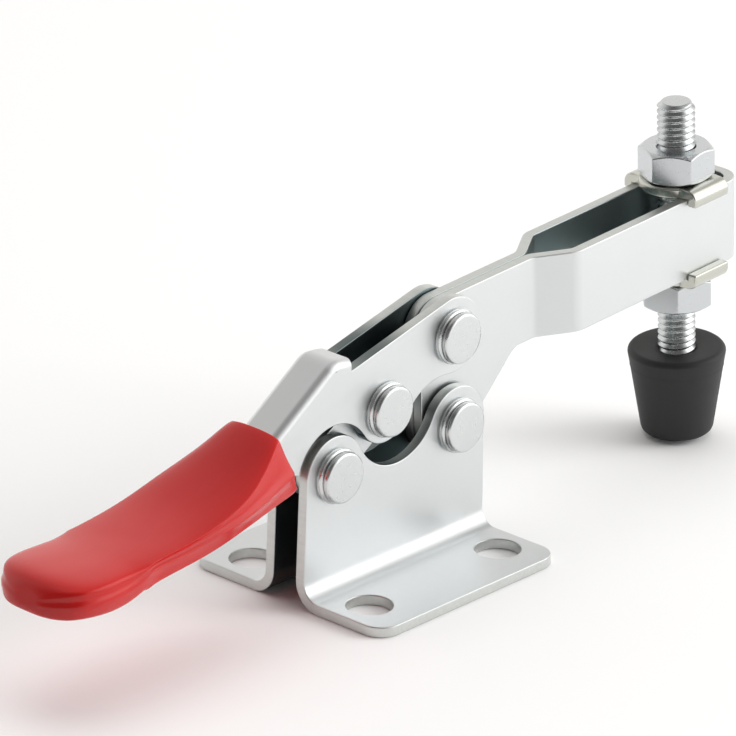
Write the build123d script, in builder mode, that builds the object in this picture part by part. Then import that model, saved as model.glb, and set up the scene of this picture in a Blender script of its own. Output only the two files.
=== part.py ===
"""Horizontal toggle clamp: flanged base, U-bar arm, folded handle with a dipped grip, M6 spindle.

Millimetres. X runs along the clamp from the grip (-X) to the spindle (+X), Y across it, Z up.
The origin is the centre of the four mounting holes, on the face that the base stands on.
The clamp is drawn at its resting pose, with the handle down.
"""

import math
import os

from build123d import *

# ---------------------------------------------------------------- driving dimensions
# Sheet and fits
sheet = 1.7  # thickness of the base, handle, arm and link blanks
running_gap = 0.05  # radial clearance of every rivet, thread and cap
leg_gap = 0.1  # between the two legs of the arm where they lie together
side_gap = 0.15  # between the arm or link and the handle cheeks

# Base: two L-shaped plates, mirrored
base_length = 39.0
base_width = 39.0
base_web_gap = 4.4  # between the two upright webs
base_bend = 2.6  # inside radius of the L bend
flange_corner = 3.5
hole_spacing_x = 28.0
hole_spacing_y = 23.8
hole_diameter = 7.0
ear_radius = 6.0  # round ears of the webs, about the two base pivots
valley_radius = 8.7  # hollow between the two ears

# Pivots, as (x, z) in the side view
arm_pivot = (13.4, 19.6)
link_pivot = (-12.9, 19.6)
toggle_pivot = (-2.0, 26.7)
arm_tilt = 3.0  # degrees that the bar points above level at rest
arm_eye_spacing = 14.4  # from the arm's base pivot up to its handle pivot

# Rivets
rivet_radius = 2.1
rivet_collar_radius = 4.25  # lower step of the head
rivet_collar_height = 1.0
rivet_head_radius = 3.95  # upper step of the head
rivet_head_height = 2.1  # both steps together
rivet_head_round = 0.4

# Arm: one strip folded into a U
arm_eye_radius = 5.4
arm_bar_height = 13.2
arm_slot = 7.7  # clear width between the legs along the bar
arm_length = 64.8  # from the arm pivot to the nose, along the bar
arm_bend = 2.2  # inside radius of the strip's bends
joggle_start = 20.0  # where the legs part, from the arm pivot
joggle_end = 26.0
arm_knee = 15.4  # where the bar's lower edge turns down to the pivot eye
arm_knee_round = 3.0

# Link: two flat plates
link_eye_radius = 4.5

# Handle: one blank folded over, with two cheeks and a spine
handle_eye_radius = 6.0
lobe_radius = 5.4  # cheek round the toggle pivot
arch_gap = 1.6  # between the handle's arch and the ear below it
hollow_radius = 8.9  # cheek hollow over the arm pivot
cheek_top_angle = 13.6  # degrees, slope of the cheeks' upper edge
spine_start = -9.2
spine_hump = (-12.6, 36.2)
spine_neck = (-25.0, 27.9)
spine_knee = (-37.0, 21.9)
spine_flat = (-50.0, 19.2)
spine_end = (-70.2, 18.9)
spine_fold = 1.3  # outside radius of the fold along the spine
hump_round = 3.0
cheek_sink = 0.6  # how far the cheeks' upper edges lie below the spine's middle line
tang_round = 12.0
cheek_heel = (-21.6, 21.9)  # lower corner of the cheeks, inside the grip
cheek_toe = (-37.0, 19.9)  # where the cheeks run out, inside the grip

# Grip: dipped vinyl round the flattened end of the handle
grip_mouth_top = (-25.6, 30.0)
grip_mouth_bottom = (-21.0, 19.9)
grip_tip = -72.0
grip_mouth_width = 9.6
grip_mouth_flare = 0.1  # how fast the sides spread at the mouth
grip_waist_x = -31.0
grip_waist_width = 12.8
grip_palm_x = -44.0
grip_palm_width = 16.8
grip_end_x = -63.4
grip_end_width = 17.4
grip_palm_top = 22.1
grip_end_top = 20.9
grip_palm_bottom = 18.3
grip_end_bottom = 16.0
grip_tip_top = 21.6
grip_tip_bottom = 18.0
grip_edge_round = 1.2
grip_wall = 1.3  # vinyl round the edge of the flattened tang

# Spindle, nuts, washers and tip
spindle_setback = 9.8  # from the nose of the bar back to the spindle
spindle_radius = 2.95
spindle_above = 13.85  # how far the spindle stands above the bar
spindle_below = 19.5  # how far the spindle's head reaches below the bar
spindle_chamfer = 0.5
spindle_head_radius = 4.4
spindle_head_height = 3.5
nut_flats = 10.4
nut_height = 5.0
nut_face_radius = 5.0  # round bearing face inside the corner chamfers
nut_chamfer_angle = 30.0  # degrees, slope of the corner chamfers
nut_lead = 0.3  # countersink of the bore
upper_nut_turn = 2.8
lower_nut_turn = 42.8
washer_sheet = 1.6
washer_radius = 5.9
washer_rim_round = 0.35
washer_tab_length = 8.0
washer_tab_overlap = 1.0  # how far a tab reaches down the side of the bar
tip_top_radius = 7.8
tip_bottom_radius = 5.6
tip_height = 14.3
tip_clearance = 13.95  # from the bar's lower edge to the top of the tip
tip_top_round = 0.9
tip_bottom_round = 0.8

# ---------------------------------------------------------------- derived sizes
web_inner = base_web_gap / 2
web_outer = web_inner + sheet
flange_reach = base_width / 2
layer = sheet + leg_gap / 2  # half thickness of the arm's legs, and of the link
cheek_inner = layer + side_gap
cheek_outer = cheek_inner + sheet
rivet_hole = rivet_radius + running_gap
arm_half = arm_slot / 2 + sheet
bar_top = arm_eye_spacing + arm_eye_radius
bar_bottom = bar_top - arm_bar_height
spindle_place = arm_length - spindle_setback
tilt = math.radians(arm_tilt)


def arm_point(along, up):
    """Side-view place of a point given along the bar and up from the arm pivot."""
    return (
        arm_pivot[0] + along * math.cos(tilt) - up * math.sin(tilt),
        arm_pivot[1] + along * math.sin(tilt) + up * math.cos(tilt),
    )


def arm_side_plane(offset):
    """Plane of the arm's side view, its x along the bar, offset towards the front."""
    return Plane(
        origin=(arm_pivot[0], -offset, arm_pivot[1]),
        x_dir=(math.cos(tilt), 0, math.sin(tilt)),
        z_dir=(0, -1, 0),
    )


def arm_level_plane(along, up):
    """Plane square to the spindle at a place along and above the arm pivot."""
    x, z = arm_point(along, up)
    return Plane(
        origin=(x, 0, z),
        x_dir=(math.cos(tilt), 0, math.sin(tilt)),
        z_dir=(-math.sin(tilt), 0, math.cos(tilt)),
    )


def hollow_centre(first, first_radius, second, second_radius, radius, side):
    """Centre of the arc of this radius that touches two circles from outside."""
    dx = second[0] - first[0]
    dz = second[1] - first[1]
    span = math.hypot(dx, dz)
    reach = first_radius + radius
    other = second_radius + radius
    along = (span**2 + reach**2 - other**2) / (2 * span)
    across = side * math.sqrt(reach**2 - along**2)
    return (
        first[0] + (along * dx - across * dz) / span,
        first[1] + (along * dz + across * dx) / span,
    )


def tangent_point(centre, radius, outside, side):
    """Point where the line from an outside point touches a circle."""
    dx = outside[0] - centre[0]
    dz = outside[1] - centre[1]
    turn = math.atan2(dz, dx) + side * math.acos(radius / math.hypot(dx, dz))
    return (centre[0] + radius * math.cos(turn), centre[1] + radius * math.sin(turn))


handle_pivot = arm_point(0, arm_eye_spacing)

os.makedirs("parts", exist_ok=True)


def save(piece, name):
    """Label a finished piece and write its STEP file."""
    piece.part.label = name
    export_step(piece.part, f"parts/{name}.step")


# ---------------------------------------------------------------- base plates
valley = hollow_centre(link_pivot, ear_radius, arm_pivot, ear_radius, valley_radius, 1)
ear_top = arm_pivot[1] + ear_radius
bend_top = base_bend + sheet
left_corner = (-base_length / 2, bend_top)
right_corner = (base_length / 2, bend_top)


def build_base_plate():
    """Front L plate: upright web with two ears, and a flange with two holes."""
    with BuildPart() as plate:
        with BuildSketch(Plane.YZ) as section:
            with Locations((-(web_inner + flange_reach) / 2, sheet / 2)):
                Rectangle(flange_reach - web_inner, sheet)
            with Locations((-(web_inner + web_outer) / 2, ear_top / 2)):
                Rectangle(sheet, ear_top)
            inside = section.vertices().sort_by_distance((-web_outer, sheet))[0]
            fillet(inside, base_bend)
            outside = section.vertices().sort_by_distance((-web_inner, 0))[0]
            fillet(outside, bend_top)
        extrude(amount=base_length / 2, both=True)
        with BuildSketch(Plane.XZ) as outline:
            with Locations((0, bend_top / 2)):
                Rectangle(base_length, bend_top)
            with Locations(link_pivot, arm_pivot):
                Circle(ear_radius)
            with BuildLine():
                Polyline(
                    left_corner,
                    tangent_point(link_pivot, ear_radius, left_corner, -1),
                    link_pivot,
                    valley,
                    arm_pivot,
                    tangent_point(arm_pivot, ear_radius, right_corner, 1),
                    right_corner,
                    close=True,
                )
            make_face()
            with Locations(valley):
                Circle(valley_radius, mode=Mode.SUBTRACT)
        extrude(amount=flange_reach, mode=Mode.INTERSECT)
        ends = plate.edges().filter_by(Axis.Z).group_by(Axis.Y)[0]
        fillet(ends, flange_corner)
        with Locations((0, -hole_spacing_y / 2, sheet)):
            with GridLocations(hole_spacing_x, 0, 2, 1):
                Hole(hole_diameter / 2, depth=sheet)
        with BuildSketch(Plane.XZ.offset(web_inner)):
            with Locations(link_pivot, arm_pivot):
                Circle(rivet_hole)
        extrude(amount=sheet, mode=Mode.SUBTRACT)
    return plate


base_plate_front = build_base_plate()
save(base_plate_front, "base_plate_front")

with BuildPart() as base_plate_rear:
    add(mirror(base_plate_front.part, about=Plane.XZ))
save(base_plate_rear, "base_plate_rear")


# ---------------------------------------------------------------- rivets
def rivet_profile(seat):
    """Half section of a rivet with a stepped round head at each end, about its axis."""
    step = seat + rivet_collar_height
    face = seat + rivet_head_height
    rim = rivet_head_radius - rivet_head_round
    shoulder = face - rivet_head_round
    with BuildSketch(Plane.XY) as profile:
        with BuildLine():
            Polyline(
                (0, 0),
                (rivet_radius, 0),
                (rivet_radius, seat),
                (rivet_collar_radius, seat),
                (rivet_collar_radius, step),
                (rivet_head_radius, step),
                (rivet_head_radius, shoulder),
            )
            RadiusArc((rivet_head_radius, shoulder), (rim, face), -rivet_head_round)
            Polyline((rim, face), (0, face), (0, 0))
        make_face()
    return profile.sketch


def build_rivet(place, seat):
    """Whole rivet across the clamp through a pivot, headed on both outer faces."""
    axis = Plane(origin=(place[0], 0, place[1]), x_dir=(1, 0, 0), z_dir=(0, 0, 1))
    with BuildPart() as rivet:
        half = rivet_profile(seat)
        add(axis * half)
        add(axis * half.mirror(Plane.XZ))
        revolve(axis=Axis((place[0], 0, place[1]), (0, 1, 0)))
    return rivet


arm_rivet = build_rivet(arm_pivot, web_outer)
save(arm_rivet, "arm_pivot_rivet")

link_rivet = build_rivet(link_pivot, web_outer)
save(link_rivet, "link_pivot_rivet")

handle_rivet = build_rivet(handle_pivot, cheek_outer)
save(handle_rivet, "handle_pivot_rivet")

toggle_rivet = build_rivet(toggle_pivot, cheek_outer)

with BuildPart() as toggle_rivet_front:
    add(toggle_rivet.part)
    split(bisect_by=Plane.XZ.offset(cheek_inner), keep=Keep.TOP)
save(toggle_rivet_front, "toggle_rivet_front")

with BuildPart() as toggle_rivet_rear:
    add(mirror(toggle_rivet_front.part, about=Plane.XZ))
save(toggle_rivet_rear, "toggle_rivet_rear")

with BuildPart() as toggle_rivet_core:
    with BuildSketch(Plane.XZ.offset(-layer)):
        with Locations(toggle_pivot):
            Circle(rivet_radius)
    extrude(amount=2 * layer)
save(toggle_rivet_core, "toggle_rivet_core")

# ---------------------------------------------------------------- arm
leg_line = (leg_gap + sheet) / 2
bar_line = (arm_slot + sheet) / 2
nose_line = arm_length - sheet / 2
leg_start = -2 * arm_eye_radius
knee = (arm_knee, bar_bottom)
knee_foot = tangent_point((0, 0), arm_eye_radius, knee, -1)

with BuildPart() as clamp_arm:
    with BuildSketch(arm_level_plane(0, -arm_eye_radius)):
        with BuildLine():
            FilletPolyline(
                (leg_start, -leg_line),
                (joggle_start, -leg_line),
                (joggle_end, -bar_line),
                (nose_line, -bar_line),
                (nose_line, bar_line),
                (joggle_end, bar_line),
                (joggle_start, leg_line),
                (leg_start, leg_line),
                radius=arm_bend + sheet / 2,
            )
        trace(line_width=sheet)
    extrude(amount=bar_top + arm_eye_radius)
    with BuildSketch(arm_side_plane(-arm_half)) as arm_side:
        with Locations((0, 0), (0, arm_eye_spacing)):
            Circle(arm_eye_radius)
        with Locations((0, arm_eye_spacing / 2)):
            Rectangle(2 * arm_eye_radius, arm_eye_spacing)
        with BuildLine():
            Polyline(
                (0, 0),
                (0, bar_top),
                (arm_length, bar_top),
                (arm_length, bar_bottom),
                knee,
                knee_foot,
                close=True,
            )
        make_face()
        turn = arm_side.vertices().sort_by_distance(knee)[0]
        fillet(turn, arm_knee_round)
    extrude(amount=2 * arm_half, mode=Mode.INTERSECT)
    with BuildSketch(arm_side_plane(-arm_half)):
        with Locations((0, 0), (0, arm_eye_spacing)):
            Circle(rivet_hole)
    extrude(amount=2 * arm_half, mode=Mode.SUBTRACT)
save(clamp_arm, "clamp_arm")


# ---------------------------------------------------------------- link plates
def build_link(inner):
    """One flat plate with a round eye about each of its two pivots."""
    with BuildPart() as plate:
        with BuildSketch(Plane.XZ.offset(inner)):
            with BuildSketch(mode=Mode.PRIVATE) as eyes:
                with Locations(link_pivot, toggle_pivot):
                    Circle(link_eye_radius)
            make_hull(eyes.sketch.edges())
            with Locations(link_pivot, toggle_pivot):
                Circle(rivet_hole, mode=Mode.SUBTRACT)
        extrude(amount=sheet)
    return plate


link_front = build_link(leg_gap / 2)
save(link_front, "link_front")

link_rear = build_link(-leg_gap / 2 - sheet)
save(link_rear, "link_rear")

# ---------------------------------------------------------------- handle
slope = math.radians(cheek_top_angle)
cheek_top_right = (
    handle_pivot[0] - handle_eye_radius * math.sin(slope),
    handle_pivot[1] + handle_eye_radius * math.cos(slope),
)
cheek_top_left = (
    spine_start,
    cheek_top_right[1] - (cheek_top_right[0] - spine_start) * math.tan(slope),
)
hollow = hollow_centre(toggle_pivot, lobe_radius, handle_pivot, handle_eye_radius, hollow_radius, -1)
arch_radius = ear_radius + arch_gap
grip_half = max(grip_palm_width, grip_end_width) / 2


def grip_plan(inset):
    """Plan outline of the grip, or of the tang inside it when inset by a wall."""
    mouth = grip_mouth_width / 2 - inset
    waist = grip_waist_width / 2 - inset
    palm = grip_palm_width / 2 - inset
    end = grip_end_width / 2 - inset
    tip = grip_tip + inset
    front = grip_mouth_bottom[0]
    with BuildSketch(Plane.XY) as plan:
        with BuildLine():
            Spline((front, mouth), (grip_waist_x, waist), (grip_palm_x, palm), (grip_end_x, end),
                   tangents=((-1, grip_mouth_flare), (-1, 0)))
            EllipticalCenterArc((grip_end_x, 0), grip_end_x - tip, end, start_angle=90, arc_size=180)
            Spline((grip_end_x, -end), (grip_palm_x, -palm), (grip_waist_x, -waist), (front, -mouth),
                   tangents=((1, 0), (1, grip_mouth_flare)))
            Line((front, -mouth), (front, mouth))
        make_face()
    return plan.sketch


tang_fall = (spine_neck[1] - spine_knee[1]) / (spine_neck[0] - spine_knee[0])
tang_root = grip_mouth_top[0] - grip_wall
tang_start = (tang_root, spine_neck[1] + tang_fall * (tang_root - spine_neck[0]))

# the flattened end of the spine, inside the grip
with BuildPart() as tang:
    with BuildSketch(Plane.XZ):
        with BuildLine():
            FilletPolyline(tang_start, spine_knee, spine_flat, spine_end, radius=tang_round)
        trace(line_width=sheet)
    extrude(amount=grip_half, both=True)
    with BuildSketch(Plane.XY):
        add(grip_plan(grip_wall))
    extrude(amount=handle_pivot[1], mode=Mode.INTERSECT)

with BuildPart() as handle_lever:
    # the fold along the spine, from its cut end to the tang
    with BuildSketch(Plane.XZ):
        with BuildLine():
            FilletPolyline(
                (spine_start, cheek_top_left[1] + sheet / 2),
                spine_hump,
                spine_neck,
                spine_knee,
                radius=hump_round,
            )
        trace(line_width=sheet)
    extrude(amount=cheek_outer, both=True)
    upper_faces = handle_lever.faces().filter_by(lambda face: face.normal_at().Z > 0)
    rims = upper_faces.edges().group_by(Axis.Y)
    fillet(rims[0] + rims[-1], spine_fold)
    add(tang.part)
    # the two cheeks
    for face in (cheek_inner, -cheek_outer):
        with BuildSketch(Plane.XZ.offset(face)):
            with Locations(handle_pivot):
                Circle(handle_eye_radius)
            with Locations(toggle_pivot):
                Circle(lobe_radius)
            with BuildLine():
                Polyline(
                    handle_pivot,
                    cheek_top_right,
                    cheek_top_left,
                    (spine_hump[0], spine_hump[1] - cheek_sink),
                    (spine_neck[0], spine_neck[1] - cheek_sink),
                    (spine_knee[0], spine_knee[1] - cheek_sink),
                    cheek_toe,
                    cheek_heel,
                    link_pivot,
                    toggle_pivot,
                    hollow,
                    close=True,
                )
            make_face()
            with Locations(hollow):
                Circle(hollow_radius, mode=Mode.SUBTRACT)
            with Locations(link_pivot):
                Circle(arch_radius, mode=Mode.SUBTRACT)
            with Locations(toggle_pivot, handle_pivot):
                Circle(rivet_hole, mode=Mode.SUBTRACT)
        extrude(amount=sheet)
save(handle_lever, "handle_lever")

# ---------------------------------------------------------------- grip
with BuildPart() as grip:
    with BuildSketch(Plane.XZ):
        with BuildLine():
            Spline(grip_mouth_top, (grip_palm_x, grip_palm_top), (grip_end_x, grip_end_top),
                   (grip_tip, grip_tip_top))
            Line((grip_tip, grip_tip_top), (grip_tip, grip_tip_bottom))
            Spline((grip_tip, grip_tip_bottom), (grip_end_x, grip_end_bottom),
                   (grip_palm_x, grip_palm_bottom), grip_mouth_bottom)
            Line(grip_mouth_bottom, grip_mouth_top)
        make_face()
    extrude(amount=grip_half, both=True)
    with BuildSketch(Plane.XY):
        add(grip_plan(0))
    extrude(amount=2 * handle_pivot[1], mode=Mode.INTERSECT)
    fillet(grip.edges().filter_by(GeomType.LINE, reverse=True), grip_edge_round)
    add(handle_lever.part, mode=Mode.SUBTRACT)
save(grip, "grip")

# ---------------------------------------------------------------- spindle
foot_x, foot_z = arm_point(spindle_place, 0)
spindle_axis = Axis((foot_x, 0, foot_z), (-math.sin(tilt), 0, math.cos(tilt)))
spindle_top = bar_top + spindle_above
head_bottom = bar_bottom - spindle_below

with BuildPart() as spindle:
    with BuildSketch(arm_level_plane(spindle_place, head_bottom)):
        Circle(spindle_head_radius)
    extrude(amount=spindle_head_height)
    with BuildSketch(arm_level_plane(spindle_place, head_bottom)):
        Circle(spindle_radius)
    extrude(amount=spindle_top - head_bottom)
    top_face = spindle.faces().sort_by(Axis.Z)[-1]
    chamfer(top_face.edges(), spindle_chamfer)
save(spindle, "spindle")


def build_nut(bottom, turn):
    """Hexagon nut on the spindle, with chamfered corners and a countersunk bore."""
    top = bottom + nut_height
    corner = nut_flats / math.sqrt(3)
    drop = (corner - nut_face_radius) * math.tan(math.radians(nut_chamfer_angle))
    bore = spindle_radius + running_gap
    with BuildPart() as nut:
        with BuildSketch(arm_level_plane(spindle_place, bottom)):
            RegularPolygon(corner, 6, rotation=turn)
        extrude(amount=nut_height)
        with BuildSketch(arm_side_plane(0)):
            with BuildLine():
                Polyline(
                    (spindle_place + bore, bottom + nut_lead),
                    (spindle_place + bore + nut_lead, bottom),
                    (spindle_place + nut_face_radius, bottom),
                    (spindle_place + corner, bottom + drop),
                    (spindle_place + corner, top - drop),
                    (spindle_place + nut_face_radius, top),
                    (spindle_place + bore + nut_lead, top),
                    (spindle_place + bore, top - nut_lead),
                    close=True,
                )
            make_face()
        revolve(axis=spindle_axis, mode=Mode.INTERSECT)
    return nut


upper_nut = build_nut(bar_top + washer_sheet, upper_nut_turn)
save(upper_nut, "upper_nut")

lower_nut = build_nut(bar_bottom - washer_sheet - nut_height, lower_nut_turn)
save(lower_nut, "lower_nut")


# ---------------------------------------------------------------- flanged washers
def build_washer(seat, direction):
    """Round washer with two tabs folded over the sides of the bar."""
    tab_inner = arm_half + running_gap
    tab_outer = tab_inner + washer_sheet
    x, z = arm_point(spindle_place, seat)
    fold_plane = Plane(
        origin=(x, 0, z),
        x_dir=(0, 1, 0),
        z_dir=(math.cos(tilt), 0, math.sin(tilt)),
    )
    crown = direction * washer_sheet
    hem = -direction * washer_tab_overlap
    with BuildPart() as washer:
        with BuildSketch(arm_level_plane(spindle_place, seat)):
            Circle(washer_radius)
        extrude(amount=crown)
        fillet(washer.edges(), washer_rim_round)
        with BuildSketch(fold_plane) as fold:
            with BuildLine():
                Polyline(
                    (-tab_inner, 0),
                    (-tab_inner, hem),
                    (-tab_outer, hem),
                    (-tab_outer, crown),
                    (tab_outer, crown),
                    (tab_outer, hem),
                    (tab_inner, hem),
                    (tab_inner, 0),
                    close=True,
                )
            make_face()
            for side in (-tab_outer, tab_outer):
                fillet(fold.vertices().sort_by_distance((side, crown))[0], washer_sheet)
        extrude(amount=washer_tab_length / 2, both=True)
        with BuildSketch(arm_level_plane(spindle_place, seat)):
            Circle(spindle_radius + running_gap)
        extrude(amount=crown, mode=Mode.SUBTRACT)
    return washer


upper_washer = build_washer(bar_top, 1)
save(upper_washer, "upper_flanged_washer")

lower_washer = build_washer(bar_bottom, -1)
save(lower_washer, "lower_flanged_washer")

# ---------------------------------------------------------------- rubber tip
tip_top = bar_bottom - tip_clearance

with BuildPart() as rubber_tip:
    with BuildSketch(arm_level_plane(spindle_place, tip_top)):
        Circle(tip_top_radius)
    with BuildSketch(arm_level_plane(spindle_place, tip_top - tip_height)):
        Circle(tip_bottom_radius)
    loft()
    fillet(rubber_tip.edges().sort_by(Axis.Z)[-1], tip_top_round)
    fillet(rubber_tip.edges().sort_by(Axis.Z)[0], tip_bottom_round)
    with BuildSketch(arm_level_plane(spindle_place, head_bottom)):
        Circle(spindle_head_radius + running_gap)
    extrude(amount=spindle_head_height + running_gap, mode=Mode.SUBTRACT)
    with BuildSketch(arm_level_plane(spindle_place, head_bottom)):
        Circle(spindle_radius + running_gap)
    extrude(amount=tip_top - head_bottom, mode=Mode.SUBTRACT)
save(rubber_tip, "rubber_tip")
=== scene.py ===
# %% [markdown]
# A horizontal toggle clamp, dressed for a catalogue picture
#
# The clamp is pressed from bright zinc-plated steel sheet: two flanged base plates, a slotted U-bar arm, two
# links and a folded handle, held together by flat round rivets. A threaded spindle with two nuts and two
# flanged washers carries a rubber tip, and the handle wears a dipped vinyl grip. The CAD model fixes every
# size and place. This lesson gives each piece the edges, threads and finish that the eye expects.

# %% Load the frame
import math

import bmesh
import bpy
from mathutils import Matrix, Vector


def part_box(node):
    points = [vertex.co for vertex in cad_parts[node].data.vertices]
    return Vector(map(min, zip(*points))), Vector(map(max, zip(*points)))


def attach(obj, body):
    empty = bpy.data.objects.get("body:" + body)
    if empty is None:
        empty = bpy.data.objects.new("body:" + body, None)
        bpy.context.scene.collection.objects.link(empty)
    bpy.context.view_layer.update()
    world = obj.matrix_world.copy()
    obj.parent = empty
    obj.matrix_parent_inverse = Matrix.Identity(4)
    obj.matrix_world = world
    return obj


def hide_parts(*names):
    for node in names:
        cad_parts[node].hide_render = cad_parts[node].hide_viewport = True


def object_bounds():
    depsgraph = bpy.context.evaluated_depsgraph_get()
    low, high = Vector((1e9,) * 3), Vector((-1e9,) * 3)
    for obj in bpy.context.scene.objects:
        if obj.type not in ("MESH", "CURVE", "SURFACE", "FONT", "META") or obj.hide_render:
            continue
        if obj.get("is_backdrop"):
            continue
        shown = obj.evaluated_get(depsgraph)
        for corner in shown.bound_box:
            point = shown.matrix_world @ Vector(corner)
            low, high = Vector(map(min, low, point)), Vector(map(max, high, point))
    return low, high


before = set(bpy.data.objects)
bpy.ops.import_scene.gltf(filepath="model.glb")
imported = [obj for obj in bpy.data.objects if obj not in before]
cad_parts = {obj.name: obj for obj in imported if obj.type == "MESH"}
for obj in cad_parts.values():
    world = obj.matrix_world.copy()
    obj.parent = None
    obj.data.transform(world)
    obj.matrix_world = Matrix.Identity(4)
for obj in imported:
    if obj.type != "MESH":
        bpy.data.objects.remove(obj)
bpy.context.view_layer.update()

print("nodes:", ", ".join(sorted(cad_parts)))

# %% [markdown]
# Everything below is thought of in millimetres, because that is how such a clamp is measured, while Blender
# works in metres. One factor turns one into the other. Places come from the CAD nodes themselves: the middle
# of a round node's box is a point of its axis, and the reach of a node along a direction gives its ends.

# %% Sizes and places from the frame
MM = 0.001


def middle(node):
    """Centre of a CAD node's box."""
    low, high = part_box(node)
    return (low + high) / 2


def reach(node, start, direction):
    """Lowest and highest distance of a CAD node's points from a start, along a direction."""
    along = [(v.co - start).dot(direction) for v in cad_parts[node].data.vertices]
    return min(along), max(along)


spindle_foot = middle("lower_nut")
spindle_up = (middle("upper_nut") - spindle_foot).normalized()
spindle_low, spindle_high = reach("spindle", spindle_foot, spindle_up)
print("the spindle leans", round(math.degrees(spindle_up.angle(Vector((0, 0, 1)))), 2), "degrees")
print("and is", round((spindle_high - spindle_low) / MM, 2), "mm long")

# %% [markdown]
# Colours are written as the hex values that a colour picker shows, which are sRGB. Shader sockets want
# linear light, so one function converts them. Material graphs are easier to read when each node is added in
# one line, so one small function makes a node, sets it and links its inputs.

# %% Colour and node helpers


def linear(code):
    """Linear RGBA of an sRGB hex colour."""
    channels = [int(code[i : i + 2], 16) / 255 for i in (1, 3, 5)]
    light = [c / 12.92 if c <= 0.04045 else ((c + 0.055) / 1.055) ** 2.4 for c in channels]
    return (*light, 1.0)


def new_material(name):
    """A node material with its Principled shader, ready to be wired."""
    material = bpy.data.materials.new(name)
    material.use_nodes = True
    return material, material.node_tree.nodes["Principled BSDF"]


def add_node(shader, kind, settings=(), **inputs):
    """Add a node to the shader's tree. An input is a value, or the output socket that feeds it."""
    tree = shader.id_data
    node = tree.nodes.new(kind)
    for key, value in dict(settings).items():
        setattr(node, key, value)
    for key, value in inputs.items():
        socket = node.inputs[int(key[1:]) if key[0] == "_" else key.replace("_", " ")]
        if isinstance(value, bpy.types.NodeSocket):
            tree.links.new(value, socket)
        else:
            socket.default_value = value
    return node


def per_mm(size):
    """Texture scale, in cycles a metre, for a pattern that repeats every so many millimetres."""
    return 1 / (size * MM)


print("zinc in linear light:", [round(c, 3) for c in linear("#CDD1D2")[:3]])

# %% [markdown]
# Bright zinc plate
#
# The blanks are cold-rolled steel with a few microns of zinc under a clear blue passivate. To the eye that is
# a pale metal mirror blurred by the rolled surface, faintly blue, and darker wherever it only sees itself, as
# inside the bar. A metallic shader with a cool base colour does part of that by itself: each bounce between
# two walls multiplies the colour once more, which turns a deep slot teal. The rest is painted shade: the
# faces inside the bar and between the plates get a darker zinc colour. Soft clouds a few millimetres wide
# vary the colour, and a fine grain varies the roughness and breaks up the mirror with a shallow bump.

# %% Zinc-plated sheet
ZINC_CLOUD = 9  # width of the soft clouds, in millimetres
ZINC_GRAIN_DEPTH = 0.02  # depth of the rolled grain, in millimetres


def zinc_plate(name, light, dark, rough_low, rough_high, grain, bump):
    """Zinc-plated steel: cloudy colour, with a grain given in millimetres in roughness and relief."""
    material, shader = new_material(name)
    place = add_node(shader, "ShaderNodeTexCoord").outputs["Object"]
    clouds = add_node(
        shader,
        "ShaderNodeTexNoise",
        Vector=place,
        Scale=per_mm(ZINC_CLOUD),
        Detail=3.0,
        Roughness=0.55,
    )
    colour = add_node(shader, "ShaderNodeMix", {"data_type": "RGBA"}, Factor=clouds.outputs["Fac"])
    colour.inputs["A"].default_value = linear(light)
    colour.inputs["B"].default_value = linear(dark)
    fine = add_node(shader, "ShaderNodeTexNoise", Vector=place, Scale=per_mm(grain), Detail=4.0)
    rough = add_node(
        shader,
        "ShaderNodeMapRange",
        Value=fine.outputs["Fac"],
        From_Min=0.3,
        From_Max=0.7,
        To_Min=rough_low,
        To_Max=rough_high,
    )
    relief = add_node(
        shader, "ShaderNodeBump", Height=fine.outputs["Fac"], Strength=bump, Distance=ZINC_GRAIN_DEPTH * MM
    )
    links = material.node_tree.links
    links.new(colour.outputs["Result"], shader.inputs["Base Color"])
    links.new(rough.outputs["Result"], shader.inputs["Roughness"])
    links.new(relief.outputs["Normal"], shader.inputs["Normal"])
    shader.inputs["Metallic"].default_value = 1.0
    return material


sheet_steel = zinc_plate("zinc_plated_sheet_steel", "#E0E2E3", "#DCDFE0", 0.4, 0.45, 0.8, 0.01)
# painted shade: the faces between the plates get a darker zinc colour
inner_steel = zinc_plate("painted_shade_zinc_inner_face", "#8A9596", "#78878A", 0.3, 0.4, 0.8, 0.02)
# painted shade: the faces inside the bar get a darker zinc colour
bar_steel = zinc_plate("shaded_zinc_inside_bar", "#BAC6C6", "#ABB8B9", 0.3, 0.38, 0.8, 0.02)
rivet_steel = zinc_plate("zinc_plated_rivet_steel", "#DCDFDF", "#D7DADA", 0.24, 0.28, 0.9, 0.004)
thread_steel = zinc_plate("zinc_plated_rolled_thread", "#D2D5D6", "#C5C9CA", 0.24, 0.3, 0.5, 0.02)
nut_steel = zinc_plate("blue_zinc_plated_nut", "#D0D3D5", "#CBCED1", 0.24, 0.28, 0.9, 0.004)
washer_steel = zinc_plate("olive_zinc_plated_washer", "#CECEC6", "#C2C3BA", 0.2, 0.27, 0.7, 0.015)
print("zinc finishes:", sheet_steel.name, rivet_steel.name, thread_steel.name)

# %% [markdown]
# Punched edges
#
# A press tool shears the blanks, so their edges are not rolled but torn: a burnished band and a rough one,
# with fine lines straight through the sheet. They look duller and warmer than the faces. The same zinc is
# used with a stretched noise: thin lines that run through the thickness, which lies along Y in the upright
# plates. Round the toggle pin the edges lie deep in the joint, so a dark teal is painted there as shade,
# and the colour fades from that painted shade to plain zinc with the distance from that pin.

# %% Punched edge
SHADE_FADE_START = 8.5  # distance from the toggle pin at which the painted shade starts to fade, in millimetres
# distance from the toggle pin at which the painted shade has faded out
SHADE_FADE_END = 13.0
STREAK = 0.55  # width of a shear line, in millimetres
STREAK_DEPTH = 0.05
THROUGH = (1.0, 0.12, 1.0)  # squeezing Y stretches the lines through the sheet
# colour of the painted shade round the toggle pin
JOINT_SHADE_COLOUR = "#4C5A5B"


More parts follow.
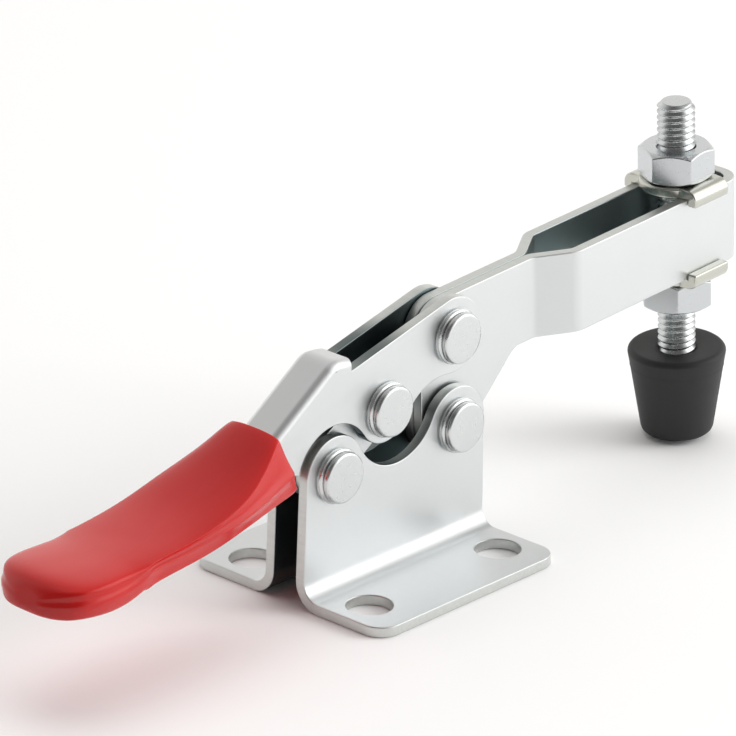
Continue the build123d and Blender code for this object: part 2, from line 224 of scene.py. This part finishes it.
def punched_edge(name, light, dark):
    """Zinc on a sheared edge, streaked through an upright sheet and darkened near the toggle pin as painted
    shade.
    """
    material, shader = new_material(name)
    place = add_node(shader, "ShaderNodeTexCoord").outputs["Object"]
    stretch = add_node(shader, "ShaderNodeMapping", Vector=place, Scale=THROUGH)
    streaks = add_node(
        shader,
        "ShaderNodeTexNoise",
        Vector=stretch.outputs["Vector"],
        Scale=per_mm(STREAK),
        Detail=3.0,
        Roughness=0.6,
    )
    colour = add_node(shader, "ShaderNodeMix", {"data_type": "RGBA"}, Factor=streaks.outputs["Fac"])
    colour.inputs["A"].default_value = linear(light)
    colour.inputs["B"].default_value = linear(dark)
    relief = add_node(
        shader, "ShaderNodeBump", Height=streaks.outputs["Fac"], Strength=0.35, Distance=STREAK_DEPTH * MM
    )
    flat = add_node(shader, "ShaderNodeVectorMath", {"operation": "MULTIPLY"}, _0=place, _1=(1.0, 0.0, 1.0))
    apart = add_node(
        shader,
        "ShaderNodeVectorMath",
        {"operation": "DISTANCE"},
        _0=flat.outputs["Vector"],
        _1=middle("toggle_rivet_core") * Vector((1, 0, 1)),
    )
    # painted shade: the edges darken towards the toggle pin, deep in the joint
    joint_shade = add_node(
        shader,
        "ShaderNodeMapRange",
        {"interpolation_type": "SMOOTHSTEP"},
        Value=apart.outputs["Value"],
        From_Min=SHADE_FADE_START * MM,
        From_Max=SHADE_FADE_END * MM,
        To_Min=1.0,
        To_Max=0.0,
    )
    shaded_colour = add_node(shader, "ShaderNodeMix", {"data_type": "RGBA"}, Factor=joint_shade.outputs["Result"])
    shaded_colour.inputs["B"].default_value = linear(JOINT_SHADE_COLOUR)
    links = material.node_tree.links
    links.new(colour.outputs["Result"], shaded_colour.inputs["A"])
    links.new(shaded_colour.outputs["Result"], shader.inputs["Base Color"])
    links.new(relief.outputs["Normal"], shader.inputs["Normal"])
    shader.inputs["Metallic"].default_value = 1.0
    shader.inputs["Roughness"].default_value = 0.42
    return material


edge_steel = punched_edge("punched_zinc_edge", "#E0E2DF", "#CCCFCD")
print("edge finish:", edge_steel.name)

# %% [markdown]
# Dipped vinyl
#
# The grip is made by dipping the hot handle into liquid PVC, which gels into a soft skin and is then cured.
# The skin is smooth and glossy with a slow waviness where it ran, and light enters it a little, so its edges
# glow. Subsurface scattering of a fraction of a millimetre gives that, under a clear soft gloss.

# %% Dipped vinyl
SKIN_CLOUD = 14  # width of the colour clouds, in millimetres
RUN = 5  # width of a run mark
RUN_DEPTH = 0.15
GLOW_REACH = 0.6  # how far light travels in the skin


def dipped_vinyl(name):
    """Red plastisol with a soft gloss, faint clouds and slow run marks."""
    material, shader = new_material(name)
    place = add_node(shader, "ShaderNodeTexCoord").outputs["Object"]
    clouds = add_node(shader, "ShaderNodeTexNoise", Vector=place, Scale=per_mm(SKIN_CLOUD), Detail=2.0)
    colour = add_node(shader, "ShaderNodeMix", {"data_type": "RGBA"}, Factor=clouds.outputs["Fac"])
    colour.inputs["A"].default_value = linear("#C41A18")
    colour.inputs["B"].default_value = linear("#B81513")
    runs = add_node(shader, "ShaderNodeTexNoise", Vector=place, Scale=per_mm(RUN), Detail=1.0)
    relief = add_node(
        shader, "ShaderNodeBump", Height=runs.outputs["Fac"], Strength=0.2, Distance=RUN_DEPTH * MM
    )
    links = material.node_tree.links
    links.new(colour.outputs["Result"], shader.inputs["Base Color"])
    links.new(relief.outputs["Normal"], shader.inputs["Normal"])
    shader.inputs["Roughness"].default_value = 0.18
    shader.inputs["IOR"].default_value = 1.45
    shader.inputs["Subsurface Weight"].default_value = 0.15
    shader.inputs["Subsurface Radius"].default_value = (1.0, 0.25, 0.15)
    shader.inputs["Subsurface Scale"].default_value = GLOW_REACH * MM
    return material


grip_vinyl = dipped_vinyl("dipped_red_vinyl")
print("grip finish:", grip_vinyl.name)

# %% [markdown]
# Moulded rubber
#
# The tip is a black natural-rubber bumper from a blasted mould: nearly black, matt, with a bloom of paler
# grey where it has been handled, and a texture too fine to see as grains. It gets a high roughness that
# varies a little, and a grain of about a quarter millimetre in the bump.

# %% Moulded rubber
BLOOM = 6  # width of the pale patches, in millimetres
MOULD_GRAIN = 0.25
MOULD_GRAIN_DEPTH = 0.04


def moulded_rubber(name):
    """Matt black rubber with a faint grey bloom and a fine moulded grain."""
    material, shader = new_material(name)
    place = add_node(shader, "ShaderNodeTexCoord").outputs["Object"]
    bloom = add_node(shader, "ShaderNodeTexNoise", Vector=place, Scale=per_mm(BLOOM), Detail=4.0)
    colour = add_node(shader, "ShaderNodeMix", {"data_type": "RGBA"}, Factor=bloom.outputs["Fac"])
    colour.inputs["A"].default_value = linear("#18181A")
    colour.inputs["B"].default_value = linear("#202021")
    grain = add_node(shader, "ShaderNodeTexNoise", Vector=place, Scale=per_mm(MOULD_GRAIN), Detail=2.0)
    relief = add_node(
        shader, "ShaderNodeBump", Height=grain.outputs["Fac"], Strength=0.3, Distance=MOULD_GRAIN_DEPTH * MM
    )
    rough = add_node(shader, "ShaderNodeMapRange", Value=bloom.outputs["Fac"], To_Min=0.5, To_Max=0.68)
    links = material.node_tree.links
    links.new(colour.outputs["Result"], shader.inputs["Base Color"])
    links.new(rough.outputs["Result"], shader.inputs["Roughness"])
    links.new(relief.outputs["Normal"], shader.inputs["Normal"])
    shader.inputs["IOR"].default_value = 1.52
    return material


tip_rubber = moulded_rubber("moulded_black_rubber")
print("tip finish:", tip_rubber.name)

# %% [markdown]
# Pressed pieces with broken edges
#
# No real plate has a perfectly sharp edge: shearing rolls one side over and tumbling before plating breaks
# the other. That tenth of a millimetre catches a bright line, which is what makes sheet metal look like
# metal. A CAD node may not be changed, so each pressed piece is a merged copy of its node. Coplanar triangles
# are dissolved, edges sharper than a limit are beveled, and the piece then stands for its node.
#
# Faces are sorted first. Faces joined across soft edges make a patch, and twice a patch's area over its
# outline is its width if it is a strip. A strip no wider than the sheet is thick can only be a cut edge,
# so it gets the punched finish, and everything else is plate. Where a third finish is given, it goes on the
# faces that look across the clamp at its middle plane: a darker zinc colour, painted shade of the gap.

# %% Dress a pressed piece
SHEET = 1.7 * MM  # thickness of every blank
SHARP = math.radians(35)  # edges that turn more than this are corners
COPLANAR = math.radians(0.6)
WIDEST_CUT = 1.08 * SHEET  # a little over the thickness, because curved edges are faceted
ACROSS = 0.5  # least share of a normal that lies across the clamp
DOUBLES = 0.001 * MM


def merged_copy(node):
    """The node's mesh as a closed bmesh with flat faces in one piece."""
    mesh = bmesh.new()
    mesh.from_mesh(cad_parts[node].data)
    bmesh.ops.remove_doubles(mesh, verts=mesh.verts, dist=DOUBLES)
    bmesh.ops.dissolve_limit(mesh, angle_limit=COPLANAR, verts=mesh.verts, edges=mesh.edges)
    return mesh


def is_sharp(edge):
    """True for a corner, and for an open edge."""
    return len(edge.link_faces) != 2 or edge.calc_face_angle(0) > SHARP


def patches(mesh):
    """Groups of faces joined across soft edges."""
    left = set(mesh.faces)
    while left:
        patch = set()
        front = [left.pop()]
        while front:
            face = front.pop()
            patch.add(face)
            for edge in face.edges:
                if not is_sharp(edge):
                    near = [f for f in edge.link_faces if f in left]
                    left.difference_update(near)
                    front.extend(near)
        yield patch


def strip_width(patch):
    """Width of a patch if it is a strip: twice its area over its outline."""
    area = sum(face.calc_area() for face in patch)
    rim = [edge for face in patch for edge in face.edges if not patch.issuperset(edge.link_faces)]
    return 2 * area / sum(edge.calc_length() for edge in rim)


def looks_inward(face):
    """True for a face that looks across the clamp at its middle plane."""
    return abs(face.normal.y) > ACROSS and face.normal.y * face.calc_center_median().y < 0


def finished(mesh, name, body, nodes, slot, materials):
    """Turn a bmesh into a smooth-shaded piece that rides on its body and stands for its nodes."""
    data = bpy.data.meshes.new(name)
    mesh.to_mesh(data)
    mesh.free()
    for material in materials:
        data.materials.append(material)
    for polygon in data.polygons:
        polygon.use_smooth = True
    piece = bpy.data.objects.new(name, data)
    bpy.context.scene.collection.objects.link(piece)
    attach(piece, body)
    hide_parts(*nodes)
    return piece


def pressed(node, body, slot, break_width, materials):
    """Dress a CAD node as a pressed piece. The finishes are plate, then punched edge and inward face."""
    mesh = merged_copy(node)
    cut_faces = 0
    for patch in patches(mesh):
        cut = strip_width(patch) < WIDEST_CUT
        for face in patch:
            if cut and len(materials) > 1:
                face.material_index = 1
                cut_faces += 1
            elif len(materials) > 2 and looks_inward(face):
                face.material_index = 2
    corners = [e for e in mesh.edges if is_sharp(e) and e.is_convex]
    bmesh.ops.bevel(
        mesh,
        geom=corners,
        offset=break_width,
        offset_type="OFFSET",
        affect="EDGES",
        segments=2,
        profile=0.5,
        clamp_overlap=False,
        material=-1,
    )
    piece = finished(mesh, node + "_pressed", body, [node], slot, materials)
    piece.modifiers.new("even_normals", "WEIGHTED_NORMAL").keep_sharp = True
    print(f"{piece.name}: {len(piece.data.polygons)} faces, {cut_faces} on cut edges")


# %% [markdown]
# The six sheet pieces
#
# All six are cut from sheet of one thickness and tumbled alike, so one edge break suits them. The inside of
# the arm gets a darker zinc colour as painted shade, and the inward faces of the base, links and handle a
# darker one still, painted shade as well.

# %% Base, arm, links and handle
SHEET_BREAK = 0.2 * MM
for node, body, slot, inside in (
    ("base_plate_front", "base", "base_steel", inner_steel),
    ("base_plate_rear", "base", "base_steel", inner_steel),
    ("clamp_arm", "arm", "arm_steel", bar_steel),
    ("link_front", "link", "link_steel", inner_steel),
    ("link_rear", "link", "link_steel", inner_steel),
    ("handle_lever", "handle", "handle_steel", inner_steel),
):
    pressed(node, body, slot, SHEET_BREAK, [sheet_steel, edge_steel, inside])

# %% [markdown]
# Nuts and flanged washers
#
# The nuts are cold-formed and blue-passivated, with a small edge break. The washers are stamped, and two tabs
# fold over the sides of the bar, so that a washer slides along the slot and cannot turn. Their plate is a
# shade more olive, as if from another bath. All four are dressed as the sheet pieces are, in one finish each.

# %% Nuts and washers
NUT_BREAK = 0.15 * MM
WASHER_BREAK = 0.3 * MM
for node in ("upper_nut", "lower_nut"):
    pressed(node, "arm", "nut_steel", NUT_BREAK, [nut_steel])
for node in ("upper_flanged_washer", "lower_flanged_washer"):
    pressed(node, "arm", "washer_steel", WASHER_BREAK, [washer_steel])

# %% [markdown]
# Rivet heads
#
# The rivets are shouldered pins. An orbital riveter rolls each head against a collar, so the head has two
# steps, with a fine groove between them, and a thin dark line where the collar meets the plate. Those two
# lines are what tells a rivet from a plain disc. A head is round, so its half section is spun about the pin.
#
# The pins of the base and of the arm go right through. The toggle pins stop inside their own cheek. The core
# between them is out of sight in the joint, so it stays the CAD solid and only gets the finish of the rivets.

# %% Rivets
ROUND = 72  # steps round a turned piece
HEAD_SECTION = (  # radius, and height above the plate
    (3.95, 0.0),
    (3.95, 0.1),
    (4.2, 0.18),
    (4.25, 0.3),
    (4.25, 0.75),
    (4.15, 0.92),
    (3.72, 0.95),
    (3.72, 1.08),
    (3.95, 1.12),
    (3.95, 1.6),
    (3.88, 1.88),
    (3.7, 2.05),
    (3.4, 2.1),
    (0.0, 2.1),
)
SHANK = 2.1  # radius of the pin


def lathe(profile, foot, direction):
    """Spin a half section, given as radius and height in millimetres, about an axis through its foot."""
    mesh = bmesh.new()
    points = [mesh.verts.new((radius * MM, 0, height * MM)) for radius, height in profile]
    edges = [mesh.edges.new(pair) for pair in zip(points, points[1:])]
    bmesh.ops.spin(
        mesh,
        geom=points + edges,
        cent=(0, 0, 0),
        axis=(0, 0, 1),
        angle=math.tau,
        steps=ROUND,
        use_merge=True,
    )
    bmesh.ops.remove_doubles(mesh, verts=mesh.verts, dist=DOUBLES)
    bmesh.ops.recalc_face_normals(mesh, faces=mesh.faces)
    turn = Vector((0, 0, 1)).rotation_difference(direction).to_matrix().to_4x4()
    bmesh.ops.transform(mesh, matrix=Matrix.Translation(foot) @ turn, verts=mesh.verts)
    return mesh


def turned(mesh, name, body, node, slot, material):
    """Finish a lathe-turned piece, with flat faces shaded flat."""
    piece = finished(mesh, name, body, [node], slot, [material])
    piece.modifiers.new("even_normals", "WEIGHTED_NORMAL").keep_sharp = True
    print(f"{name}: {len(piece.data.polygons)} faces")


HEAD_HEIGHT = HEAD_SECTION[-1][1]
for node, body in (
    ("arm_pivot_rivet", "base"),
    ("link_pivot_rivet", "base"),
    ("handle_pivot_rivet", "handle"),
):
    low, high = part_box(node)
    seat = (high.y - low.y) / 2 / MM - HEAD_HEIGHT
    head = [(radius, seat + height) for radius, height in HEAD_SECTION]
    tail = [(radius, -height) for radius, height in reversed(head)]
    pin = tail + [(SHANK, -seat), (SHANK, seat)] + head
    mesh = lathe(pin, middle(node), Vector((0, -1, 0)))
    turned(mesh, node + "_turned", body, node, "rivet_steel", rivet_steel)

for node, outwards in (("toggle_rivet_front", -1), ("toggle_rivet_rear", 1)):
    low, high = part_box(node)
    seat = (high.y - low.y) / MM - HEAD_HEIGHT
    head = [(radius, seat + height) for radius, height in HEAD_SECTION]
    foot = middle(node)
    foot.y = high.y if outwards < 0 else low.y
    mesh = lathe([(0, 0), (SHANK, 0), (SHANK, seat)] + head, foot, Vector((0, outwards, 0)))
    turned(mesh, node + "_turned", "handle", node, "rivet_steel", rivet_steel)

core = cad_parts["toggle_rivet_core"]
core.data.materials.clear()
core.data.materials.append(rivet_steel)

# %% [markdown]
# The rubber tip
#
# The tip is moulded over the head of the spindle in a two-part mould, which leaves a fine line round it where
# the halves meet, a little below its top. Its top dips slightly towards the steel, and the rubber touches the
# thread. It is round about the spindle, so it is spun like the rivets.

# %% Rubber tip
tip_low, tip_high = reach("rubber_tip", spindle_foot, spindle_up)
TIP_HEIGHT = (tip_high - tip_low) / MM
TIP_TOP = 7.8
TIP_BOTTOM = 5.6
TIP_LINE = 3.0  # how far the mould line lies below the top
TIP_ROUND = 0.9
BORE = 2.95
SINK = 2.0  # how deep the bore can be seen
LINE_REACH = 0.14  # how far the mould line's slopes run, above and below
LINE_FLAT = 0.04
LINE_PROUD = 0.05
LIP_INSET = 0.1  # how far the rounded lip stays inside the taper
LIP_STEPS = 6


def tip_side(height):
    """Radius of the tip's tapered side at a height above its foot."""
    return TIP_BOTTOM + (TIP_TOP - TIP_BOTTOM) * height / TIP_HEIGHT


line = TIP_HEIGHT - TIP_LINE
# the foot: nearly flat, with a soft edge
tip_section = [(0, 0.12), (TIP_BOTTOM - 1.6, 0.1), (TIP_BOTTOM - 1.0, 0)]
tip_section += [(TIP_BOTTOM - 0.35, 0.1), (TIP_BOTTOM - 0.05, 0.4), (tip_side(0.9), 0.9)]
# the mould line
tip_section += [(tip_side(line - LINE_REACH), line - LINE_REACH)]
tip_section += [(tip_side(line) + LINE_PROUD, line + side * LINE_FLAT) for side in (-1, 1)]
tip_section += [(tip_side(line + LINE_REACH), line + LINE_REACH)]
# the rounded lip, the dip towards the steel and the bore
for step in range(LIP_STEPS + 1):
    angle = math.radians(90 * step / LIP_STEPS)
    out = TIP_TOP - LIP_INSET - TIP_ROUND * (1 - math.cos(angle))
    tip_section.append((out, TIP_HEIGHT - TIP_ROUND * (1 - math.sin(angle))))
tip_section += [(5.5, TIP_HEIGHT - 0.06), (3.6, TIP_HEIGHT - 0.3), (BORE, TIP_HEIGHT - 0.4)]
tip_section += [(BORE, TIP_HEIGHT - SINK), (0, TIP_HEIGHT - SINK)]
mesh = lathe(tip_section, spindle_foot + spindle_up * tip_low, spindle_up)
turned(mesh, "moulded_tip", "arm", "rubber_tip", "tip_rubber", tip_rubber)

# %% [markdown]
# The threaded spindle
#
# The spindle is an M6 stud with a rolled thread of 1 mm pitch. A thread is one groove section carried round
# and up at once, which is just what the spin operator does when it is given a step along the axis. One turn
# rises by one pitch and the section spans one pitch, so copies of the turn stack up without a seam and the
# doubles can be merged. The ends are then bisected flat and capped, and the crests near the top are pulled in
# to the cone of a lathe chamfer.

# %% Threaded spindle
PITCH = 1.0 * MM
CREST = 2.95 * MM
ROOT = 2.42 * MM
STEPS = 48  # round each turn
CHAMFER = 0.75 * MM  # how far the crests are turned down at the top


def thread(mesh, low, high):
    """A rolled outside thread about Z from low to high, capped at both ends."""
    # each point: its radius, and its height as a share of the pitch
    section = [(ROOT, 0), (ROOT, 1 / 8), (CREST, 7 / 16), (CREST, 9 / 16), (ROOT, 7 / 8), (ROOT, 1)]
    start = low - PITCH
    points = [mesh.verts.new((radius, 0, start + share * PITCH)) for radius, share in section]
    edges = [mesh.edges.new(pair) for pair in zip(points, points[1:])]
    bmesh.ops.spin(
        mesh,
        geom=points + edges,
        cent=(0, 0, 0),
        axis=(0, 0, 1),
        dvec=(0, 0, PITCH / STEPS),
        angle=math.tau,
        steps=STEPS,
        use_merge=False,
    )
    turn = mesh.verts[:] + mesh.edges[:] + mesh.faces[:]
    for count in range(1, math.ceil((high - low) / PITCH) + 2):
        copy = bmesh.ops.duplicate(mesh, geom=turn)["geom"]
        risen = [part for part in copy if isinstance(part, bmesh.types.BMVert)]
        bmesh.ops.translate(mesh, verts=risen, vec=(0, 0, count * PITCH))
    bmesh.ops.remove_doubles(mesh, verts=mesh.verts, dist=DOUBLES)
    for level, upwards in ((low, -1), (high, 1)):
        bmesh.ops.bisect_plane(
            mesh,
            geom=mesh.verts[:] + mesh.edges[:] + mesh.faces[:],
            plane_co=(0, 0, level),
            plane_no=(0, 0, upwards),
            clear_outer=True,
        )
    rims = [e for e in mesh.edges if e.is_boundary]
    bmesh.ops.holes_fill(mesh, edges=rims, sides=0)
    for vert in mesh.verts:
        limit = CREST - CHAMFER + (high - vert.co.z)
        out = vert.co.xy.length
        if out > limit:
            vert.co.xy *= limit / out
    bmesh.ops.recalc_face_normals(mesh, faces=mesh.faces)


mesh = bmesh.new()
thread(mesh, spindle_low, spindle_high)
turn = Vector((0, 0, 1)).rotation_difference(spindle_up).to_matrix().to_4x4()
bmesh.ops.transform(mesh, matrix=Matrix.Translation(spindle_foot) @ turn, verts=mesh.verts)
threaded_spindle = finished(mesh, "threaded_spindle", "arm", ["spindle"], "spindle_steel", [thread_steel])
threaded_spindle.modifiers.new("crisp_crests", "WEIGHTED_NORMAL").keep_sharp = True
print("threaded_spindle:", len(threaded_spindle.data.polygons), "faces")

# %% [markdown]
# The dipped grip
#
# The handle's end is a folded channel that runs out into a flat tang, and the vinyl follows it. Near the
# mouth the grip is a deep narrow box, at the palm a flat paddle, and its end is round. Two soft ridges run
# down each side: the upper one is the edge of the top face, the lower one is where the channel's wall stops
# and the skin turns under. Both end in a small swelling, where the wall runs out.
#
# Such a skin is easiest as a tube of cross-sections. A flat grid is the sheet, one direction along the grip
# and the other round it, and every vertex is moved to its place on the section that its column belongs to.
# Edge creases keep the ridges crisp when the subdivision surface rounds everything else. The planes of the
# sections lean. At the mouth they stand square to the sloping handle, and at the end they lean the other way,
# so that the end wall faces a little upwards.

# %% Grip sections
# Each section, in millimetres: x of its ridge, lean of its plane, half width, and the heights of its crown,
# ridge, heel and belly.
GRIP_SECTIONS = (
    (-25.8, -0.45, 5.5, 30.2, 29.2, 23.6, 20.1),
    (-26.8, -0.44, 6.0, 29.8, 28.7, 23.3, 19.9),
    (-29.8, -0.38, 6.9, 27.8, 26.6, 22.7, 19.8),
    (-33.5, -0.28, 8.0, 25.7, 24.7, 22.0, 19.5),
    (-37.5, -0.15, 8.6, 24.1, 23.3, 21.3, 18.9),
    (-42.0, -0.05, 8.6, 22.6, 22.1, 20.6, 17.8),
    (-47.0, 0.0, 8.5, 21.7, 21.2, 20.0, 17.2),
    (-51.5, 0.0, 8.4, 21.2, 20.8, 19.7, 16.8),
    (-54.3, 0.0, 8.4, 21.0, 20.5, 19.6, 16.4),
    (-55.8, 0.0, 8.8, 20.95, 20.3, 19.5, 16.0),
    (-57.6, 0.0, 8.7, 20.9, 20.1, 18.6, 15.3),
    (-60.0, 0.0, 8.8, 20.9, 20.1, 18.1, 14.9),
    (-63.4, 0.0, 9.1, 20.95, 20.15, 18.0, 15.0),
    (-66.8, 0.05, 8.8, 21.0, 20.2, 18.1, 15.4),
    (-68.8, 0.12, 7.8, 20.9, 20.0, 18.0, 15.5),
    (-70.2, 0.2, 6.0, 20.6, 19.6, 17.9, 15.8),
    (-71.0, 0.25, 4.2, 20.0, 19.0, 17.8, 16.2),
    (-71.3, 0.3, 2.6, 19.4, 18.5, 17.7, 16.8),
)
LAST_RIDGED = 9  # the ridges are creased as far as this section
RIDGE_CREASES = {3: 0.85, 5: 0.8, 7: 0.5}  # the ring's points at ridge, heel and belly, and their creases
MOUTH_CREASE = 0.75
CAP_RIM = 0.5  # width of the rim that each end face gets
MOUTH_SINK = 0.25  # how far the mouth face lies inside its rim
SKIN_LEVELS = 3


def grip_ring(section):
    """The points of one section, from the crown round the front to the belly and back up the rear."""
    x, lean, half, crown, ridge, heel, belly = section
    # distance from the middle plane, and height: the factors round the skin between the given heights
    front = [
        (0, crown),
        (0.45 * half, crown - 0.08 * (crown - ridge)),
        (0.82 * half, ridge + 0.5 * (crown - ridge)),
        (half - 0.1 * (ridge - heel), ridge),
        (half - 0.5, heel + 0.4 * (ridge - heel)),
        (half + 0.1, heel),
        (half - 0.55, heel - 0.5 * (heel - belly)),
        (half - 0.85, belly + 0.1),
        (0.45 * half, belly - 0.1),
        (0, belly - 0.1),
    ]
    rear = [(-out, height) for out, height in front[-2::-1]]
    return [
        Vector((x + lean * (height - ridge), -out, height)) * MM for out, height in front + rear
    ]


def dipped_grip():
    """The grip's skin: a flat grid rolled round its sections and closed at both ends."""
    rings = [grip_ring(section) for section in GRIP_SECTIONS]
    columns = len(rings)
    rows = len(rings[0])
    mesh = bmesh.new()
    bmesh.ops.create_grid(mesh, x_segments=columns - 1, y_segments=rows - 1, size=0.5)
    crease = mesh.edges.layers.float.new("crease_edge")
    address = {}
    for vert in mesh.verts:
        column = round((vert.co.x + 0.5) * (columns - 1))
        row = round((vert.co.y + 0.5) * (rows - 1))
        address[vert] = (column, row)
    ridge_rows = {}
    for row, sharpness in RIDGE_CREASES.items():
        ridge_rows[row] = ridge_rows[rows - 1 - row] = sharpness
    for edge in mesh.edges:
        (first, row), (second, other) = (address[v] for v in edge.verts)
        if row == other and row in ridge_rows and max(first, second) <= LAST_RIDGED:
            edge[crease] = ridge_rows[row]
        if first == second == 0:
            edge[crease] = MOUTH_CREASE
    for vert, (column, row) in address.items():
        vert.co = rings[column][row]
    bmesh.ops.remove_doubles(mesh, verts=mesh.verts, dist=DOUBLES)
    bmesh.ops.holes_fill(mesh, edges=[e for e in mesh.edges if e.is_boundary], sides=0)
    mesh.normal_update()
    caps = [face for face in mesh.faces if len(face.verts) > 4]
    end, mouth = sorted(caps, key=lambda face: face.calc_center_median().x)
    bmesh.ops.inset_region(mesh, faces=[end], thickness=CAP_RIM * MM)
    bmesh.ops.inset_region(mesh, faces=[mouth], thickness=CAP_RIM * MM, depth=-MOUTH_SINK * MM)
    bmesh.ops.recalc_face_normals(mesh, faces=mesh.faces)
    return mesh


vinyl_grip = finished(dipped_grip(), "vinyl_grip", "handle", ["grip"], "grip_vinyl", [grip_vinyl])
skin = vinyl_grip.modifiers.new("smooth_skin", "SUBSURF")
skin.levels = SKIN_LEVELS
skin.render_levels = SKIN_LEVELS
print("vinyl_grip:", len(vinyl_grip.data.polygons), "cage faces")

# %% [markdown]
# Studio
#
# The clamp stands on a pale floor in a white room of soft light. A metal shows nothing but its surroundings,
# so the room is the real lighting. It is bright at the horizon and dimmer overhead. One side of it is dark,
# which draws the steps of the rivet heads on that side and shades the end of the grip.

# %% Floor
FLOOR_HALF = 6.0  # metres from the middle to each side

mesh = bmesh.new()
bmesh.ops.create_grid(mesh, x_segments=1, y_segments=1, size=FLOOR_HALF)
data = bpy.data.meshes.new("studio_floor")
mesh.to_mesh(data)
mesh.free()
floor = bpy.data.objects.new("studio_floor", data)
floor_paper, shader = new_material("pale_paper_floor")
shader.inputs["Base Color"].default_value = linear("#F4F4F4")
shader.inputs["Roughness"].default_value = 0.9
data.materials.append(floor_paper)
bpy.context.scene.collection.objects.link(floor)
floor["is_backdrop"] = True

# %% [markdown]
# The room and its lamps
#
# Flange and web of the base mirror each other, and after that the front right of the room, so what stands
# there sets how bright the base looks. The softbox in that place is weak, because a lamp adds its light to
# that of the wall behind it. The key light beside it and the fill overhead are for vinyl, rubber and floor,
# and are hidden from reflections, so that no plate shows their outline.

# %% Lights
HORIZON_LIGHT = 1.1
OVERHEAD_LIGHT = 0.6
DARK_DIRECTION = (-0.90, -0.38, 0.20)
DARK_LIGHT = 0.15  # what is left of the light in the dark direction

world = bpy.data.worlds.new("white_room")
world.use_nodes = True
room = world.node_tree.nodes["Background"]
sky = add_node(room, "ShaderNodeTexCoord").outputs["Generated"]
height = add_node(room, "ShaderNodeSeparateXYZ", Vector=sky).outputs["Z"]
fall = add_node(
    room,
    "ShaderNodeMapRange",
    Value=height,
    From_Min=0.3,
    From_Max=0.85,
    To_Min=HORIZON_LIGHT,
    To_Max=OVERHEAD_LIGHT,
)
facing = add_node(room, "ShaderNodeVectorMath", {"operation": "DOT_PRODUCT"}, _0=sky, _1=DARK_DIRECTION)
dark_side = add_node(
    room,
    "ShaderNodeMapRange",
    {"interpolation_type": "SMOOTHSTEP"},
    Value=facing.outputs["Value"],
    From_Min=0.15,
    From_Max=0.7,
    To_Min=1.0,
    To_Max=DARK_LIGHT,
)
strength = add_node(
    room,
    "ShaderNodeMath",
    {"operation": "MULTIPLY"},
    _0=fall.outputs["Result"],
    _1=dark_side.outputs["Result"],
)
room.inputs["Color"].default_value = linear("#FFFDFA")
world.node_tree.links.new(strength.outputs["Value"], room.inputs["Strength"])
bpy.context.scene.world = world


def softbox(name, place, target, size, power):
    """A square area light that looks from a place at a target."""
    light = bpy.data.lights.new(name, "AREA")
    light.shape = "SQUARE"
    light.size = size
    light.energy = power
    lamp = bpy.data.objects.new(name, light)
    lamp.location = place
    lamp.rotation_mode = "QUATERNION"
    lamp.rotation_quaternion = (Vector(target) - Vector(place)).to_track_quat("-Z", "Y")
    bpy.context.scene.collection.objects.link(lamp)
    return lamp


FRONT_RIGHT = (0.81, -0.75, 0.46)  # metres
softbox("front_softbox", FRONT_RIGHT, target=(0, 0, 0.03), size=1.2, power=4.9)
for name, place, size, power in (
    ("front_key", FRONT_RIGHT, 0.6, 7.0),
    ("overhead_fill", (0.2, 0.2, 1.3), 1.2, 7.0),
):
    softbox(name, place, (0, 0, 0), size, power).visible_glossy = False
print("studio lights set")

# %% [markdown]
# Camera
#
# A long lens from well back keeps the parallel edges of the clamp nearly parallel, as in a catalogue. The
# view is from the front left and a little above, aimed near the middle of the clamp.

# %% Camera
AZIMUTH = math.radians(-47.155)
ELEVATION = math.radians(22.493)
ROLL = math.radians(0.632)
DISTANCE = 827.56 * MM
TARGET = Vector((-2.032, 0, 32.070)) * MM
FOCAL = 5654.2  # focal length in pixels of a 736-pixel picture
PICTURE = 736
SENSOR = 36.0
NEAREST = 0.05  # metres
FARTHEST = 20.0

back = Vector(
    (
        math.sin(AZIMUTH) * math.cos(ELEVATION),
        -math.cos(AZIMUTH) * math.cos(ELEVATION),
        math.sin(ELEVATION),
    )
)
right = Vector((math.cos(AZIMUTH), math.sin(AZIMUTH), 0))
up = back.cross(right)
right_rolled = right * math.cos(ROLL) + up * math.sin(ROLL)
up_rolled = up * math.cos(ROLL) - right * math.sin(ROLL)
lens = bpy.data.cameras.new("catalogue_camera")
lens.sensor_width = SENSOR
lens.lens = FOCAL * SENSOR / PICTURE
lens.clip_start = NEAREST
lens.clip_end = FARTHEST
camera = bpy.data.objects.new("catalogue_camera", lens)
camera.matrix_world = Matrix.Translation(TARGET + back * DISTANCE) @ Matrix(
    (right_rolled, up_rolled, back)
).transposed().to_4x4()
bpy.context.scene.collection.objects.link(camera)
bpy.context.scene.camera = camera
bpy.context.scene.view_settings.view_transform = "Standard"
print("lens", round(lens.lens, 2), "mm at", round(DISTANCE / MM), "mm")

# %% [markdown]
# Sizes and finish
#
# The box of the dressed clamp is measured over every piece that is shown, without the floor. Dressing must
# not make the clamp bigger.

# %% Sizes and finish
low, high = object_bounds()
